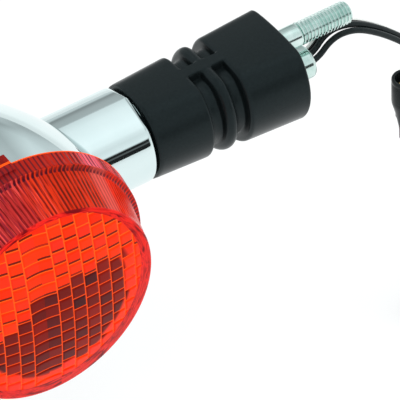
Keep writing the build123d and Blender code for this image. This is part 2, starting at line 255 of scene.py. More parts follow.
def lens_mat():
    """Translucent red-orange lens: prism blocks on its face, ribs on its barrel."""
    m = Mat("red_prism_lens")
    x, y, z = m.xyz()
    u = m.math("MULTIPLY", m.math("SUBTRACT", x, XL * MM), 1000.0)      # mm across the face
    v = m.math("MULTIPLY", m.math("ADD", z, 0.0064), 1000.0)            # mm up the face
    w = m.math("MULTIPLY", y, -1000.0)                                  # mm towards the front
    r = m.math("SQRT", m.math("ADD", m.math("MULTIPLY", u, u), m.math("MULTIPLY", v, v)))
    th = m.math("ARCTAN2", u, v)
    up = m.math("ADD", u, 1.25)
    vp = m.math("SUBTRACT", v, 2.0)
    rp = m.math("SQRT", m.math("ADD", m.math("MULTIPLY", up, up), m.math("MULTIPLY", vp, vp)))
    wav = m.noise(120.0, 2.0, 0.5)
    # columns: a double one in the middle, single ones either side
    P, Q = 3.62, 3.48
    cu = m.math("DIVIDE", m.math("SUBTRACT", u, 0.2), P)
    wide = m.math("MULTIPLY", m.math("GREATER_THAN", cu, -2.0), m.math("LESS_THAN", cu, 0.0))
    ci = m.math("FLOOR", cu)
    fu1 = m.math("SUBTRACT", cu, ci)
    fu2 = m.math("MULTIPLY", m.math("ADD", cu, 2.0), 0.5)
    fu = m.math("ADD", m.math("MULTIPLY", fu1, m.math("SUBTRACT", 1.0, wide)), m.math("MULTIPLY", fu2, wide))
    pw = m.math("ADD", P, m.math("MULTIPLY", wide, P))
    par = m.math("MULTIPLY", m.math("PINGPONG", ci, 1.0), m.math("SUBTRACT", 1.0, wide))
    arch = m.math("MULTIPLY", wide, m.math("MULTIPLY", m.math("MULTIPLY", m.math("SUBTRACT", fu, 0.5), m.math("SUBTRACT", fu, 0.5)), 0.55))
    rv = m.math("ADD", m.math("ADD", m.math("DIVIDE", v, Q), m.math("MULTIPLY", par, 0.5)), arch)
    rv = m.math("ADD", rv, m.math("MULTIPLY", m.math("SUBTRACT", fu, 0.5), 0.10))
    ri = m.math("FLOOR", rv)
    fv = m.math("SUBTRACT", rv, ri)
    # random number per block
    wn = m.t.nodes.new("ShaderNodeTexWhiteNoise"); wn.noise_dimensions = "2D"
    m.t.links.new(m.join(m.math("ADD", m.math("MULTIPLY", ci, 1.37), 0.31), m.math("ADD", m.math("MULTIPLY", ri, 2.11), 0.17), 0.0), wn.inputs["Vector"])
    rnd = wn.outputs["Value"]
    # distances to the block's edges, in mm
    eu = m.math("MULTIPLY", m.math("SUBTRACT", 0.5, m.math("ABSOLUTE", m.math("SUBTRACT", fu, 0.5))), pw)
    ev = m.math("MULTIPLY", m.math("SUBTRACT", 0.5, m.math("ABSOLUTE", m.math("SUBTRACT", fv, 0.5))), Q)
    edge = m.math("MINIMUM", eu, ev)
    joint = m.step(edge, 0.20, 0.06)
    # lower half inside a circle: blocks painted dark maroon, a painted dark reflection of the prisms
    lim = m.math("ADD", m.math("MULTIPLY", m.math("MINIMUM", m.math("ADD", m.math("MULTIPLY", ci, P), 5.0), 0.0), 0.75), 5.4)
    lower = m.step(m.math("SUBTRACT", m.math("ADD", m.math("MULTIPLY", ri, Q), m.math("MULTIPLY", par, -0.5 * Q)), lim), 0.3, -0.3)
    inr = m.step(m.math("ADD", r, m.math("MULTIPLY", rnd, 3.0)), 21.6, 20.2)
    painted_dark_mask = m.math("MULTIPLY", lower, inr)
    painted_dark_mask = m.math("MULTIPLY", painted_dark_mask, m.math("ADD", 0.90, m.math("MULTIPLY", rnd, 0.10)))
    bright = m.ramp(rnd, [(0.0, (0.90, 0.020, 0.003)), (0.5, (0.95, 0.036, 0.004)), (1.0, (0.95, 0.026, 0.010))])
    # painted reflection: the dark maroon that the prism blocks show in the lower half
    painted_shade_maroon = m.ramp(m.math("FRACT", m.math("MULTIPLY", rnd, 7.3)), [(0.0, (0.17, 0.006, 0.004)), (0.7, (0.085, 0.005, 0.005)), (1.0, (0.030, 0.008, 0.012))])
    cell = m.mix(painted_dark_mask, bright, painted_shade_maroon)
    # painted shade: dark dashes under each row of the bright blocks
    painted_shade_dash = m.math("MULTIPLY", m.step(m.math("ABSOLUTE", m.math("SUBTRACT", m.math("MULTIPLY", fv, Q), 0.50)), 0.44, 0.30), m.step(eu, 0.20, 0.34))
    painted_shade_dash = m.math("MULTIPLY", painted_shade_dash, m.math("MULTIPLY", m.math("SUBTRACT", 1.0, lower), m.step(m.math("FRACT", m.math("MULTIPLY", rnd, 3.7)), 0.10, 0.35)))
    cell = m.mix(m.math("MULTIPLY", painted_shade_dash, 0.92), cell, (0.075, 0.006, 0.002))
    jcol = m.mix(lower, (1.0, 0.12, 0.010), (1.0, 0.085, 0.010))
    face = m.mix(joint, cell, jcol)
    # clear band between the blocks and the rim
    wave = m.noise(160.0, 3.0, 0.6, vec=m.join(m.math("MULTIPLY", th, 0.02), m.math("MULTIPLY", r, 0.004), 0.0), dist=1.2)
    band = m.ramp(wave, [(0.36, (0.16, 0.003, 0.006)), (0.46, (0.55, 0.010, 0.008)), (0.58, (0.80, 0.018, 0.012)), (0.70, (0.24, 0.004, 0.008))])
    face = m.mix(m.math("MAXIMUM", m.step(rp, 24.6, 25.0), m.step(r, 25.9, 26.1)), face, band)
    # barrel and flange: ribs along the axis, whose tone changes round the lens: painted sheen, painted highlights and
    # painted shade, fixed round the lens
    turn = m.math("ADD", m.math("DIVIDE", th, 2 * math.pi), 0.5)
    streak = m.noise(1.0, 4.0, 0.65, vec=m.join(m.math("MULTIPLY", th, 34.0), m.math("MULTIPLY", w, 0.10), 0.0))

    def around(stops):
        return m.ramp(turn, [((a + 180) / 360, c) for a, c in stops])

    ribs = m.math("FRACT", m.math("MULTIPLY", th, 156 / (2 * math.pi)))
    # painted light: a lit and a shaded tone of the ribs, set by angle round the lens, with pink painted sheen near 40
    # to 47 degrees
    painted_lit_rib = around([(-180, (0.70, 0.030, 0.008)), (-90, (0.60, 0.025, 0.012)), (-45, (0.42, 0.030, 0.034)), (-4, (0.46, 0.022, 0.020)), (6, (0.74, 0.036, 0.008)), (17, (0.56, 0.020, 0.003)),
                  (24, (0.60, 0.022, 0.002)), (37, (0.64, 0.022, 0.002)), (40, (0.72, 0.080, 0.060)), (47, (0.78, 0.085, 0.065)), (49, (0.84, 0.022, 0.002)), (66, (0.72, 0.018, 0.003)), (84, (0.60, 0.014, 0.010)), (120, (0.60, 0.016, 0.008)), (180, (0.70, 0.030, 0.008))])
    painted_shaded_rib = around([(-180, (0.30, 0.010, 0.004)), (-45, (0.105, 0.006, 0.012)), (-4, (0.16, 0.005, 0.006)), (14, (0.13, 0.007, 0.002)), (37, (0.085, 0.007, 0.001)), (41, (0.45, 0.05, 0.035)), (47, (0.50, 0.05, 0.035)), (50, (0.40, 0.012, 0.002)), (180, (0.30, 0.010, 0.004))])
    # painted shade in the troughs between the ribs
    painted_rib_shade = m.step(m.math("ABSOLUTE", m.math("SUBTRACT", ribs, 0.5)), 0.38, 0.16)
    painted_rib_shade = m.math("MULTIPLY", painted_rib_shade, m.step(streak, 0.36, 0.56))
    side = m.mix(painted_rib_shade, painted_lit_rib, painted_shaded_rib)
    side = m.mix(m.math("MULTIPLY", m.step(streak, 0.60, 0.72), 0.55), side, painted_lit_rib)
    # pink streaks of painted sheen and dark streaks of painted shade on one side of the barrel
    painted_sheen_zone = around([(-180, (0.5, 0.5, 0.5)), (-60, (0.7, 0.7, 0.7)), (-40, (1.0, 1.0, 1.0)), (4, (1.0, 1.0, 1.0)), (15, (0.12, 0.12, 0.12)), (120, (0.12, 0.12, 0.12)), (180, (0.5, 0.5, 0.5))])
    fine = m.noise(1.0, 3.0, 0.6, vec=m.join(m.math("MULTIPLY", th, 62.0), m.math("MULTIPLY", w, 0.06), 3.0))
    side = m.mix(m.math("MULTIPLY", painted_sheen_zone, m.math("MULTIPLY", m.step(fine, 0.56, 0.66), 0.75)), side, (0.88, 0.085, 0.075))
    side = m.mix(m.math("MULTIPLY", painted_sheen_zone, m.math("MULTIPLY", m.step(fine, 0.44, 0.36), 0.70)), side, (0.115, 0.006, 0.030))
    side = m.mix(0.08, side, (0.0, 0.0, 0.0))
    # flange flutes: a painted lit tone set by angle round the lens, with painted shade between the flutes
    fl = m.math("FRACT", m.math("MULTIPLY", th, 160 / (2 * math.pi)))
    painted_flute_shade = m.math("MULTIPLY", m.step(m.math("ABSOLUTE", m.math("SUBTRACT", fl, 0.5)), 0.26, 0.12), m.step(streak, 0.34, 0.5))
    painted_lit_flange = around([(-180, (0.50, 0.016, 0.008)), (-40, (0.24, 0.008, 0.010)), (-2, (0.24, 0.010, 0.010)), (8, (0.34, 0.012, 0.006)), (33, (0.40, 0.014, 0.006)), (38, (0.78, 0.10, 0.14)), (44, (0.72, 0.09, 0.13)), (48, (0.42, 0.012, 0.010)), (54, (0.66, 0.05, 0.05)), (62, (0.66, 0.030, 0.030)), (80, (0.50, 0.016, 0.010)), (180, (0.50, 0.016, 0.008))])
    flange = m.mix(m.math("MULTIPLY", painted_flute_shade, 0.80), painted_lit_flange, (0.050, 0.006, 0.012))
    # a painted highlight line at the flange's back edge, and a broken line of painted shade at the step
    flange = m.mix(m.step(w, 23.0, 22.8), flange, (0.95, 0.085, 0.006))
    flange = m.mix(m.step(w, 22.3, 22.1), flange, m.ramp(streak, [(0.35, (0.10, 0.004, 0.004)), (0.65, (0.32, 0.010, 0.006))]))
    painted_step_shade = m.math("MULTIPLY", m.step(m.math("ABSOLUTE", m.math("SUBTRACT", w, 27.35)), 0.30, 0.14), m.step(m.math("ABSOLUTE", m.math("SUBTRACT", fl, 0.5)), 0.36, 0.22))
    side = m.mix(m.step(w, 27.1, 26.9), side, flange)
    side = m.mix(m.math("MULTIPLY", painted_step_shade, 0.82), side, (0.022, 0.004, 0.014))
    isface = m.step(w, 37.9, 38.3)
    col = m.mix(isface, side, face)
    # the lens also emits its own colour, a painted glow standing in for light through the plastic
    m.set(Base_Color=col, Roughness=0.22, Coat_Weight=m.math("ADD", 0.03, m.math("MULTIPLY", m.step(w, 38.62, 38.45), 0.05)),
          Coat_Roughness=0.04, Specular_IOR_Level=0.10, Specular_Tint=(1.0, 0.22, 0.10), Emission_Color=col, Emission_Strength=0.22)
    h = m.math("ADD", m.math("MULTIPLY", m.math("MULTIPLY", joint, isface), -0.4), m.math("MULTIPLY", m.noise(90.0, 2.0), 0.05))
    m.bump(h, 0.12, 0.0003)
    return m.m


LENS = lens_mat()


def clear_glass():
    m = Mat("bulb_clear_glass")
    n = m.noise(30.0, 2.0)
    m.set(Base_Color=m.ramp(n, [(0.3, (0.93, 0.95, 0.94)), (0.7, (0.98, 0.985, 0.98))]), Roughness=0.02, Transmission_Weight=1.0, IOR=1.45)
    m.bump(m.noise(80.0, 2.0), 0.03, 0.0002)
    return m.m


GLASS = clear_glass()


def white_wire():
    """White insulation with a thin black tracer along it."""
    m = Mat("white_insulation_black_tracer")
    tc = m.t.nodes.new("ShaderNodeTexCoord")
    s = m.t.nodes.new("ShaderNodeSeparateXYZ")
    m.t.links.new(tc.outputs["UV"], s.inputs[0])
    across = s.outputs[1]
    stripe = m.step(m.math("ABSOLUTE", m.math("SUBTRACT", across, 0.36)), 0.095, 0.075)
    n = m.noise(700.0, 3.0)
    col = m.ramp(n, [(0.3, (0.72, 0.73, 0.70)), (0.7, (0.84, 0.85, 0.82))])
    m.set(Base_Color=m.mix(stripe, col, (0.012, 0.012, 0.012)), Roughness=m.ramp(n, [(0.3, 0.3), (0.7, 0.42)]))
    m.bump(n, 0.05, 0.0001)
    return m.m


WHITE = white_wire()


# ------------------------------------------------------------------ mesh helpers
def add_mesh(name, verts, faces, mat, body=None, replaces=(), sharp=40.0, weld=True):
    me = bpy.data.meshes.new(name)
    me.from_pydata([tuple(p) for p in verts], [], [tuple(f) for f in faces])
    import bmesh
    bm = bmesh.new(); bm.from_mesh(me)
    if weld:
        bmesh.ops.remove_doubles(bm, verts=bm.verts, dist=2e-7)
        bmesh.ops.dissolve_degenerate(bm, edges=bm.edges, dist=1e-7)
    bmesh.ops.recalc_face_normals(bm, faces=bm.faces)
    bm.to_mesh(me); bm.free()
    me.shade_smooth()
    if sharp:
        me.set_sharp_from_angle(angle=math.radians(sharp))
    me.materials.append(mat)
    ob = bpy.data.objects.new(name, me)
    bpy.context.scene.collection.objects.link(ob)
    if replaces:
        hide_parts(*replaces)
    if body:
        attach(ob, body)
    return ob


def grid(P, wrap_u=False, wrap_v=True):
    """Vertices and quads of a grid of points P[u][v]."""
    nu, nv = P.shape[:2]
    V = row(P.reshape(-1, 3))
    F = []
    for i in range(nu if wrap_u else nu - 1):
        i2 = (i + 1) % nu
        for j in range(nv if wrap_v else nv - 1):
            j2 = (j + 1) % nv
            F.append((i * nv + j, i * nv + j2, i2 * nv + j2, i2 * nv + j))
    return V, F


def lathe_y(prof, n=256):
    """Profile of (radius, distance to the front) about the lens axis."""
    th = np.linspace(0, 2 * math.pi, n, endpoint=False)
    P = np.array([[(XL + r * math.sin(t), -w, r * math.cos(t)) for t in th] for r, w in prof])
    return P


def lathe_x(prof, n=64, y=0.0, z=0.0):
    th = np.linspace(0, 2 * math.pi, n, endpoint=False)
    return np.array([[(x, y + r * math.sin(t), z + r * math.cos(t)) for t in th] for x, r in prof])


def arc(cx, cy, r, a0, a1, n):
    return [(cx + r * math.cos(math.radians(a0 + (a1 - a0) * i / n)), cy + r * math.sin(math.radians(a0 + (a1 - a0) * i / n))) for i in range(n + 1)]


# ------------------------------------------------------------------ bowl and collar
A, B, ZB, WALL = 30.6, 53.5, 22.5, 2.0
prof = [(0.0, ZB - B)]
for i in range(1, 97):
    t = math.radians(-90 + 88.9 * i / 96)
    prof.append((A * math.cos(t), ZB + B * math.sin(t)))
prof += [(A - 0.12, 21.5 - 0.06), (A - 0.35, 21.5), (A - WALL + 0.2, 21.5), (A - WALL, 21.3)]
for i in range(0, 65):
    t = math.radians(-1.4 - 88.6 * i / 64)
    prof.append(((A - WALL) * math.cos(t), ZB + (B - WALL) * math.sin(t)))
V, F = grid(lathe_y(prof, 320))
add_mesh("bowl", V, F, CHROME, "lamp_head", ("housing_shell",), sharp=50)

# section of the collar: a circle with a shallow ridge along the top
NT = 360
TH = np.linspace(0, 2 * math.pi, NT, endpoint=False)     # 0 at the top, towards +Y


def smin(a, b, k):
    h = np.clip(0.5 + 0.5 * (b - a) / k, 0, 1)
    return b + (a - b) * h - k * h * (1 - h)


def polar_top(fn, guess):
    """Polar distance to a top line z = fn(y), for each angle; very far below the horizon."""
    c = np.cos(TH); s = np.sin(TH)
    r = np.full(NT, guess)
    for _ in range(60):
        zt = fn(r * s)
        r = np.clip(0.5 * r + 0.5 * np.where(c > 0.45, zt / np.maximum(c, 0.45), 60.0), 5.0, 60.0)
    return np.where(c > 0.45, r, 60.0)


def ridge(y):
    y = np.abs(y)
    big = np.sqrt(np.maximum(32.0 ** 2 - (y + 6.65) ** 2, 1.0)) - 19.4
    return big


COL = smin(np.full(NT, 12.46), polar_top(ridge, 12.0), 0.35)


def ell_x(y, z, off):
    a, b = A + off, B + off
    q = np.clip(1 - ((-y - ZB) / b) ** 2, 0, 1)
    return XL + np.sqrt(np.maximum(a * a * q - z * z, 0))


yy, zz = COL * np.sin(TH), COL * np.cos(TH)
xs_in = ell_x(yy, zz, -1.0)
xs_out = ell_x(yy, zz, 0.0)
rows = []
rows.append(np.stack([xs_in, yy, zz], 1))
f = 0.9
for k in range(0, 9):
    t = f * k / 8
    x = xs_out - 0.25 + t
    g = (f - math.sqrt(max(f * f - (f - t) ** 2, 0))) * 0.75
    rr = COL + g
    rows.append(np.stack([x, rr * np.sin(TH), rr * np.cos(TH)], 1))
xa = xs_out + f - 0.25
for k in range(1, 12):
    x = xa + (-44.3 - xa) * k / 11
    rows.append(np.stack([x, yy, zz], 1))
for k in range(1, 11):
    a = math.radians(90 * k / 10)
    x = np.full(NT, -44.3 + 1.55 * math.sin(a))
    rr = COL - 1.3 * (1 - math.cos(a))
    rows.append(np.stack([x, rr * np.sin(TH), rr * np.cos(TH)], 1))
for x, r in [(-42.75, 10.6), (-42.9, 10.47), (-58.5, 10.47), (-58.5, 3.4), (-60.5, 3.4)]:
    rows.append(np.stack([np.full(NT, x), r * np.sin(TH), r * np.cos(TH)], 1))
V, F = grid(np.array(rows))
add_mesh("collar", V, F, CHROME, "lamp_head", (), sharp=42)

# ------------------------------------------------------------------ rubber stalk
X0, X1 = -42.4, 0.0


def outer_r(x):
    t = (x - X0) / (X1 - X0)
    R = 12.4 + (14.65 - 12.4) * t
    top = polar_top(lambda y: 11.42 + 0.13 * t - y * y / 124.0, 11.5)
    return smin(np.full(NT, R), top, 0.95)


FLOOR = smin(np.full(NT, 10.9), polar_top(lambda y: 9.2 - y * y / 110.0, 9.3), 0.8)
seq = []                                  # (x, drop in mm, share of the full depth)


def lip(xe, rho, side, n=7):
    out = []
    for i in range(n + 1):
        a = math.radians(90 * i / n)
        out.append((xe - side * rho + side * rho * math.sin(a), rho * (1 - math.cos(a)), 0.0))
    return out


def groove(xa, xb, rl, rr):
    s = lip(xa, rl, 1)
    s += [(xa + 0.04, -0.55, 1.0), (xa + 0.16, -0.22, 1.0), (xa + 0.5, 0.0, 1.0), ((xa + xb) / 2, 0.0, 1.0),
          (xb - 0.5, 0.0, 1.0), (xb - 0.16, -0.22, 1.0), (xb - 0.04, -0.55, 1.0)]
    s += lip(xb, rr, -1)[::-1]
    return s


seq += [(X0, 0, 0)]
seq += [(x, 0, 0) for x in np.linspace(X0 + 1.0, -28.4, 14)]
seq += groove(-27.0, -23.6, 0.95, 1.65)
seq += groove(-20.2, -17.1, 1.65, 0.95)
seq += [(x, 0, 0) for x in np.linspace(-15.6, -1.0, 14)]
rows = []
for x, r in [(-56.0, 0.0), (-56.0, 9.9), (-55.6, 10.3), (X0, 10.3)]:
    rows.append(np.stack([np.full(NT, x), r * np.sin(TH), r * np.cos(TH)], 1))
for a in (0, 30, 60):
    q = outer_r(X0)
    rr = q - 0.35 * (1 - math.sin(math.radians(a)))
    rows.append(np.stack([np.full(NT, X0 + 0.35 * (1 - math.cos(math.radians(a)))), rr * np.sin(TH), rr * np.cos(TH)], 1))
for x, drop, share in seq[1:]:
    q = outer_r(x)
    full = np.maximum(q - FLOOR, 0.0)
    dd = np.clip(drop + share * full, 0.0, full)
    yv = np.abs(q * np.sin(TH) + 0.25)
    mask = np.clip((yv - 1.45) / 0.75, 0, 1); mask = mask * mask * (3 - 2 * mask)
    rr = q - dd * mask
    rows.append(np.stack([np.full(NT, x), rr * np.sin(TH), rr * np.cos(TH)], 1))
for k in range(1, 9):
    a = math.radians(90 * k / 8)
    rr = outer_r(0.0) - 0.8 * (1 - math.cos(a))
    rows.append(np.stack([np.full(NT, -0.8 + 0.8 * math.sin(a)), rr * np.sin(TH), rr * np.cos(TH)], 1))
last = outer_r(0.0) - 0.8
for s in (0.8, 0.45, 0.0):
    rr = last * s
    rows.append(np.stack([np.zeros(NT), rr * np.sin(TH), rr * np.cos(TH)], 1))
V, F = grid(np.array(rows))
rubber = add_mesh("stalk_rubber", V, F, RUBBER, None, ("rubber_stalk",), sharp=55)
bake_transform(rubber)

# ------------------------------------------------------------------ stud
N = 72
th = np.linspace(0, 2 * math.pi, N, endpoint=False)
rows = [[(-6.0, 0.0)] * N]
R = []
xs = [(-6.0, 0.0), (-6.0, 2.4), (-3.2, 2.4), (-3.2, 3.35), (0.0, 3.35), (0.02, 3.0)]
xs += [(x, 3.0) for x in np.linspace(0.6, 5.4, 6)] + [(5.7, 2.98), (5.95, 2.8), (6.1, 2.55)]
P = [[(x, r * math.sin(t), 6.4 + r * math.cos(t)) for t in th] for x, r in xs]
for x in np.arange(6.15, 20.62, 0.0625):
    line = []
    for t in th:
        ph = (x - t / (2 * math.pi)) % 1.0
        tri = 1 - abs(2 * ph - 1)
        q = min(max((tri - 0.10) / 0.72, 0.0), 1.0)
        q = q * q * (3 - 2 * q) * 0.35 + q * 0.65
        depth = 0.56 * min(1.0, (x - 6.1) / 0.8)
        r = 3.0 - depth + depth * q
        r = min(r, 3.0 - max(0.0, x - 19.9) * 0.62)
        line.append((x, r * math.sin(t), 6.4 + r * math.cos(t)))
    P.append(line)
for x, r in [(20.72, 2.35), (20.78, 2.1), (20.8, 1.8), (20.8, 0.0)]:
    P.append([(x, r * math.sin(t), 6.4 + r * math.cos(t)) for t in th])
V, F = grid(np.array(P))
add_mesh("threaded_stud", V, F, ZINC, "mount", ("mounting_stud",), sharp=60)

# ------------------------------------------------------------------ ferrule
fp = [(-6.0, 2.9), (-6.0, 3.3), (-3.2, 3.3), (-3.2, 4.4), (7.7, 4.4)]
fp += [(7.75 + 1.15 * math.sin(math.radians(a)), 4.4 - 1.15 * (1 - math.cos(math.radians(a)))) for a in range(10, 91, 10)]
fp += [(8.88, 3.0), (8.75, 2.92), (8.5, 2.9), (-6.0, 2.9)]
V, F = grid(lathe_x(fp, 96, 0.0, -3.6))
add_mesh("ferrule", V, F, ZINC, "mount", ("wire_ferrule",), sharp=50)

# ------------------------------------------------------------------ lens
def lens_profile():
    p = [(0.0, 41.6)]
    r1, z1 = 26.1, 38.75
    sag = 41.6 - z1
    RD = (r1 * r1 + sag * sag) / (2 * sag)
    for i in range(1, 121):
        r = r1 * i / 120
        p.append((r, 41.6 - RD + math.sqrt(RD * RD - r * r)))
    p += [(26.45, 38.66), (26.72, 38.45), (26.87, 38.2), (26.9, 37.95)]
    for i in range(1, 13):
        s = i / 12
        p.append((26.9 + (29.6 - 26.9) * s, 38.0 + (27.7 - 38.0) * s))
    p += [(29.72, 27.4), (29.95, 27.22), (30.3, 27.15), (30.85, 27.13), (31.05, 27.05), (31.15, 26.85)]
    for i in range(1, 9):
        p.append((31.15 + 0.62 * i / 8, 26.85 - 4.1 * i / 8))
    p += [(31.8, 22.62), (31.72, 22.5), (27.9, 22.5), (27.9, 18.7), (27.7, 18.5), (26.4, 18.5), (26.25, 18.7), (27.0, 27.0), (24.6, 36.9)]
    r2, z2, top2 = 24.6, 36.9, 39.6
    sag = top2 - z2
    RD = (r2 * r2 + sag * sag) / (2 * sag)
    for i in range(1, 25):
        r = r2 * (1 - i / 24)
        p.append((r, top2 - RD + math.sqrt(RD * RD - r * r)))
    return p


NL = 936
lp = lens_profile()
th = np.linspace(0, 2 * math.pi, NL, endpoint=False)
rows = []
PC, QC = 3.62, 3.48
for r, w in lp:
    rr = np.full(NL, float(r)); ww = np.full(NL, float(w))
    if w > 38.7 and r < 25.9:                      # prism blocks
        u = rr * np.sin(th); v = rr * np.cos(th)
        cu = (u - 0.2) / PC
        wide = (cu > -2) & (cu < 0)
        ci = np.floor(cu)
        fu = np.where(wide, (cu + 2) / 2, cu - ci)
        par = np.where(wide, 0.0, np.mod(np.abs(ci), 2.0))
        rv = v / QC + 0.5 * par + np.where(wide, 0.55 * (fu - 0.5) ** 2, 0.0) + 0.10 * (fu - 0.5)
        fv = rv - np.floor(rv)
        eu = np.minimum(fu, 1 - fu) * np.where(wide, 2 * PC, PC)
        ev = np.minimum(fv, 1 - fv) * QC
        e = np.clip(np.minimum(eu, ev) / 0.45, 0, 1)
        on = np.clip((24.9 - np.sqrt((u + 1.25) ** 2 + (v - 2.0) ** 2)) / 0.4, 0, 1)
        ww = ww + on * (-0.30 + 0.30 * e * e * (3 - 2 * e) + 0.10 * (fv - 0.5) * e)
    if 27.6 < w < 37.9 and r > 26.5:               # ribs of the barrel
        fade = min(1.0, (w - 27.6) / 0.8, (37.9 - w) / 1.2)
        rr = rr - 0.10 * fade * (0.5 - 0.5 * np.cos(156 * th))
    if 22.6 < w < 26.9 and r > 31.1:               # flutes of the flange
        fade = min(1.0, (w - 22.6) / 0.5, (26.9 - w) / 0.5)
        rr = rr - 0.14 * max(fade, 0) * (0.5 - 0.5 * np.cos(118 * th))
    ww = np.minimum(ww, 41.59)
    rows.append(np.stack([XL + rr * np.sin(th), -ww, rr * np.cos(th)], 1))
V, F = grid(np.array(rows))
lens = add_mesh("prism_lens", V, F, LENS, "lens_cover", ("lens",), sharp=38)

# locating tongue on the flange, reaching back over the bowl
P = []
for r, w in [(30.95, 19.5), (31.2, 19.3), (31.95, 19.35), (32.13, 19.6), (32.13, 24.6), (31.9, 25.0), (31.0, 25.0), (30.95, 22.4)]:
    P.append([(XL + u, -w, math.sqrt(max(r * r - u * u, 1.0))) for u in np.linspace(-6.85, 1.35, 13)])
P = np.array(P)
V, F = grid(P, wrap_u=True, wrap_v=False)
nv = P.shape[1]
F += [tuple(i * nv for i in range(P.shape[0])), tuple(i * nv + nv - 1 for i in range(P.shape[0]))[::-1]]
add_mesh("lens_tongue", V, F, LENS, "lens_cover", (), sharp=30)

# ------------------------------------------------------------------ leads
ROUTE = [(5.0, -3.6), (10.0, -3.6), (15.0, 2.0), (22.0, 1.2), (29.4, -3.7), (36.9, -10.7), (44.3, -19.2), (48.6, -30.5),
         (50.2, -49.0), (48.9, -66.0), (48.7, -80.5), (50.9, -89.5), (51.9, -95.5), (52.5, -100.95), (49.05, -104.4),
         (44.15, -104.4), (40.7, -100.95), (41.2, -95.5), (42.9, -89.3), (45.2, -80.5), (45.0, -70.5), (43.3, -62.5),
         (42.9, -57.5), (42.9, -53.0)]
NR = len(ROUTE)


def table(knots):
    out = []
    for i in range(NR):
        for (i0, v0), (i1, v1) in zip(knots, knots[1:]):
            if i0 <= i <= i1:
                out.append(v0 + (v1 - v0) * (i - i0) / (i1 - i0))
                break
    return out


SIDE = {"upper_black": table([(0, 0.3), (6, 0.3), (9, 0.0), (NR - 1, 0.0)]),
        "lower_black": table([(0, -1.2), (6, -1.25), (9, -1.85), (NR - 5, -1.85), (NR - 4, -2.9), (NR - 3, -5.3), (NR - 2, -6.5), (NR - 1, -6.5)]),
        "white": table([(0, 2.0), (6, 2.0), (9, 1.85), (NR - 5, 1.85), (NR - 4, 2.9), (NR - 3, 5.3), (NR - 2, 6.5), (NR - 1, 6.5)])}
LIFT = {"upper_black": table([(0, 0.45), (1, 0.45), (2, 0.7), (3, 0.45), (6, 0.45), (9, 0.0), (NR - 1, 0.0)]),
        "lower_black": table([(0, -0.35), (1, -0.35), (2, -0.65), (3, -0.35), (6, -0.35), (9, 0.0), (NR - 1, 0.0)]),
        "white": table([(0, 0.35), (1, 0.35), (2, 0.9), (3, 0.2), (6, 0.05), (9, 0.0), (NR - 1, 0.0)])}


PUSH = table([(0, 0.0), (1, 0.0), (2, 2.7), (4, 2.7), (5, 2.2), (7, 0.0), (NR - 1, 0.0)])


def lead_points(name):
    pts = []
    for i, (x, z) in enumerate(ROUTE):
        ds = []
        for p, q in ((i - 1, i), (i, i + 1)):
            if p >= 0 and q < NR:
                dx, dz = ROUTE[q][0] - ROUTE[p][0], ROUTE[q][1] - ROUTE[p][1]
                m = math.hypot(dx, dz)
                ds.append((dx / m, dz / m))
        tx, tz = sum(e[0] for e in ds), sum(e[1] for e in ds)
        m = math.hypot(tx, tz)
        tx, tz = tx / m, tz / m
        off = LIFT[name][i] / (tx * ds[0][0] + tz * ds[0][1])
        t = PUSH[i]
        pts.append((x - tz * off + 0.406 * t, SIDE[name][i] + 0.628 * t, z + tx * off - 0.664 * t))
    return pts


def wire_curve(name, pts, mat, res=14):
    cu = bpy.data.curves.new(name, "CURVE")
    cu.dimensions = "3D"
    sp = cu.splines.new("NURBS")
    sp.points.add(len(pts) - 1)
    for p, q in zip(sp.points, row(pts)):
        p.co = (*q, 1.0)
    sp.order_u = 3
    sp.use_endpoint_u = True
    sp.resolution_u = res
    cu.resolution_u = res
    cu.bevel_depth = 0.0008
    cu.bevel_resolution = 6
    cu.use_fill_caps = True
    cu.materials.append(mat)
    ob = bpy.data.objects.new(name, cu)
    bpy.context.scene.collection.objects.link(ob)
    return ob


def spline_length(ob):
    tmp = ob.copy()
    tmp.data = ob.data.copy()
    tmp.data.bevel_depth = 0.0
    me = bpy.data.meshes.new_from_object(tmp)
    co = [v.co.copy() for v in me.vertices]
    bpy.data.curves.remove(tmp.data)
    return sum((b - a).length for a, b in zip(co, co[1:]))


boot_prof = [(0.82, -47.5), (1.25, -47.5), (1.42, -47.3), (1.45, -44.6), (1.6, -43.2), (2.05, -40.8), (2.7, -37.6), (3.15, -35.9), (3.42, -34.8), (3.5, -34.0),
             (3.5, -28.2), (3.42, -27.9), (3.42, -27.6), (3.5, -27.3), (3.46, -26.8), (3.3, -26.5), (2.75, -26.5), (2.55, -26.7), (2.45, -27.2), (2.45, -39.4), (0.9, -42.3), (0.82, -43.0)]
bul_prof = [(0.0, -47.5), (0.8, -47.5), (0.8, -41.9), (1.2, -41.5), (2.1, -39.6), (2.1, -33.0), (1.95, -32.7), (1.7, -32.5), (1.7, -31.3), (1.95, -31.0), (2.1, -30.7), (2.1, -29.7), (1.9, -29.2), (1.4, -28.6), (0.0, -28.6)]


def lathe_z(prof, n, x, y):
    th = np.linspace(0, 2 * math.pi, n, endpoint=False)
    return np.array([[(x + r * math.cos(t), y + r * math.sin(t), z - 5.5) for t in th] for r, z in prof])


for name, k in (("lower_black", -1), ("upper_black", 0), ("white", 1)):
    V, F = grid(lathe_z(boot_prof, 64, 42.9, 6.5 * k), wrap_u=True)
    boot = add_mesh("boot_" + name, V, F, BOOT, "mount", ("terminal_boots",), sharp=50)
    V, F = grid(lathe_z(bul_prof, 48, 42.9, 6.5 * k))
    bullet = add_mesh("bullet_" + name, V, F, BRASS, "mount", ("bullet_terminals",), sharp=35)
for name in ("upper_black", "lower_black", "white"):
    pts = lead_points(name)
    ob = wire_curve("lead_curve_" + name, pts, WHITE if name == "white" else PVC_BLACK)
    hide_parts("lead_" + name)
    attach(ob, "mount")
    spline_length(ob)
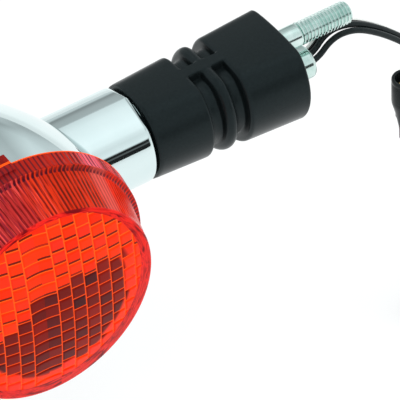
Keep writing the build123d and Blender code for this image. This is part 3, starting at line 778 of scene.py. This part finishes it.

# leads inside the stalk and the lamp
first = True
for name, (k, y0, n0) in {"lower_black": (-1, -1.2, -0.35), "upper_black": (0, 0.3, 0.45), "white": (1, 2.0, 0.35)}.items():
    z0 = -3.6 + n0
    zb = -3.6 + 1.5 + 1.9 * k
    pts = [(5.0, y0, z0), (-4.0, y0, z0), (-14.0, y0, z0), (-22.0, y0, z0), (-30.0, y0, z0), (-40.0, y0, z0), (-50, y0, z0), (-63, 0.4 * y0 + 0.1, -3.6 + 1.75 * k),
           (-71, 4.5, zb), (-74.5, 12, zb), (-76, 19.5, zb), (-80, 25.2, zb * 0.5 + 0.95 * k), (-86.2, 25.4, 1.9 * k), (-88.4, 21.5, 1.9 * k)]
    cob = wire_curve("tmp_" + name, pts, PVC_BLACK, 10)
    me = bpy.data.meshes.new_from_object(cob)
    bpy.data.objects.remove(cob)
    me.name = "inner_lead_" + name
    me.materials.clear(); me.materials.append(PVC_BLACK if name != "white" else plastic("white_insulation", (0.7, 0.7, 0.67), (0.82, 0.82, 0.8), 0.3, 0.42))
    ob = bpy.data.objects.new("inner_lead_" + name, me)
    bpy.context.scene.collection.objects.link(ob)
    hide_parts("inner_leads")
    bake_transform(ob)

# ------------------------------------------------------------------ CAD nodes that stay
for node, mat in {"lens_gasket": GASKET, "reflector": CHROME, "reflector_screws": ZINC_DULL, "bulb_socket": ZINC_DULL, "contact_disc": BOARD,
                  "contact_studs": BRASS, "contact_spring": ZINC_DULL, "bulb_base": BRASS, "bulb_contacts": ZINC_DULL, "bulb_pins": BRASS,
                  "bulb_glass": GLASS, "filament_mount": ZINC_DULL, "base_plate": ZINC_DULL, "head_plate": ZINC_DULL, "stalk_screws": ZINC_DULL,
                  "lead_tie": PVC_BLACK}.items():
    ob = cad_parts[node]
    ob.data.materials.clear()
    ob.data.materials.append(mat)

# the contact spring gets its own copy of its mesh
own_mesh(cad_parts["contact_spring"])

# ------------------------------------------------------------------ floor and light
fm = bpy.data.meshes.new("floor")
s, zf = 30.0, -0.125
fm.from_pydata([(-s, -s, zf), (s, -s, zf), (s, s, zf), (-s, s, zf)], [], [(0, 1, 2, 3)])
floor = bpy.data.objects.new("floor", fm)
bpy.context.scene.collection.objects.link(floor)
mf = Mat("pale_floor")
mf.set(Base_Color=mf.ramp(mf.noise(3.0, 2.0), [(0.3, (0.38, 0.38, 0.38)), (0.7, (0.41, 0.41, 0.41))]), Roughness=0.9, Specular_IOR_Level=0.1,
       Emission_Color=(1.0, 1.0, 1.0), Emission_Strength=0.58)
fm.materials.append(mf.m)

world = bpy.data.worlds.new("studio")
bpy.context.scene.world = world
world.use_nodes = True
wt = world.node_tree
bg = wt.nodes["Background"]
tc = wt.nodes.new("ShaderNodeTexCoord")
sx = wt.nodes.new("ShaderNodeSeparateXYZ")
wt.links.new(tc.outputs["Generated"], sx.inputs[0])


def wmath(op, a, b=None, c=None):
    n = wt.nodes.new("ShaderNodeMath"); n.operation = op
    for i, v in enumerate((a, b, c)):
        if v is None:
            continue
        if isinstance(v, (int, float)):
            n.inputs[i].default_value = v
        else:
            wt.links.new(v, n.inputs[i])
    return n.outputs[0]


# angle about the stalk's line: 0 straight up, positive towards the lens side
ang = wmath("ARCTAN2", wmath("MULTIPLY", sx.outputs[1], -1.0), sx.outputs[2])
wn_ = wt.nodes.new("ShaderNodeTexNoise")
wn_.inputs["Scale"].default_value = 2.6
wn_.inputs["Detail"].default_value = 2.0
wt.links.new(tc.outputs["Generated"], wn_.inputs["Vector"])
back = wmath("LESS_THAN", ang, -0.55)
ang = wmath("ADD", ang, wmath("MULTIPLY", back, wmath("MULTIPLY", wmath("SUBTRACT", wn_.outputs["Fac"], 0.5), 0.42)))
deg = wmath("DIVIDE", wmath("ADD", wmath("MULTIPLY", ang, 180 / math.pi), 180.0), 360.0)
rampn = wt.nodes.new("ShaderNodeValToRGB")
stops = [(-180, 0.5), (-92, 0.88), (-86, 0.85), (-82, 0.36), (-76, 0.55), (-60, 0.70), (-46, 0.82), (-43.5, 1.0), (-42, 0.26), (-40.5, 0.40), (-39, 1.35), (-37, 0.88), (-26, 0.88), (-12, 1.25), (5, 1.42), (14, 1.33), (24, 1.2), (45, 1.1), (62, 1.15), (70, 1.25), (73, 0.02), (78, 0.02), (79.5, 0.30), (81, 0.02), (90, 0.02), (94, 0.6)]
el_ = rampn.color_ramp.elements
while len(el_) < len(stops):
    el_.new(0.5)
for i, (a, v) in enumerate(stops):
    el_[i].position = (a + 180) / 360
    el_[i].color = (v * 0.93, v * 0.985, v * 1.0, 1)
wt.links.new(deg, rampn.inputs[0])
# away from the direction the straight collar mirrors, a softer, cloudier studio
off = wmath("MINIMUM", wmath("MAXIMUM", wmath("DIVIDE", wmath("SUBTRACT", wmath("ABSOLUTE", wmath("SUBTRACT", sx.outputs[0], 0.40)), 0.10), 0.14), 0.0), 1.0)
cloud_n = wt.nodes.new("ShaderNodeTexNoise")
cloud_n.inputs["Scale"].default_value = 1.7
cloud_n.inputs["Detail"].default_value = 1.0
cloud_n.inputs["Distortion"].default_value = 0.35
wt.links.new(tc.outputs["Generated"], cloud_n.inputs["Vector"])
cloud = wt.nodes.new("ShaderNodeValToRGB")
ce = cloud.color_ramp.elements
ce.new(0.5); ce.new(0.6)
for i, (a, v) in enumerate([(0.28, 0.50), (0.38, 0.82), (0.46, 1.00), (0.68, 1.10)]):
    ce[i].position = a
    ce[i].color = (v * 0.93, v * 0.985, v * 1.0, 1)
wt.links.new(cloud_n.outputs["Fac"], cloud.inputs[0])
blend = wt.nodes.new("ShaderNodeMix")
blend.data_type = "RGBA"
wt.links.new(off, blend.inputs[0])
wt.links.new(rampn.outputs[0], blend.inputs[6])
wt.links.new(cloud.outputs[0], blend.inputs[7])
wt.links.new(blend.outputs[2], bg.inputs[0])
bg.inputs[1].default_value = 0.8


def area(name, loc, target, size, power, color=(1, 1, 1)):
    ld = bpy.data.lights.new(name, "AREA")
    ld.shape = "RECTANGLE"; ld.size, ld.size_y = size
    ld.energy = power; ld.color = color
    lo = bpy.data.objects.new(name, ld)
    bpy.context.scene.collection.objects.link(lo)
    lo.location = loc
    dv = Vector(target) - Vector(loc)
    lo.rotation_euler = dv.to_track_quat("-Z", "Y").to_euler()
    lo.visible_glossy = False
    return lo


area("key", (0.1, -0.5, 1.3), (-0.04, 0, 0), (0.9, 0.5), 7.0)
area("back", (0.2, 0.9, 0.7), (-0.04, 0, 0), (0.9, 0.3), 4.0)

bpy.context.view_layer.update()
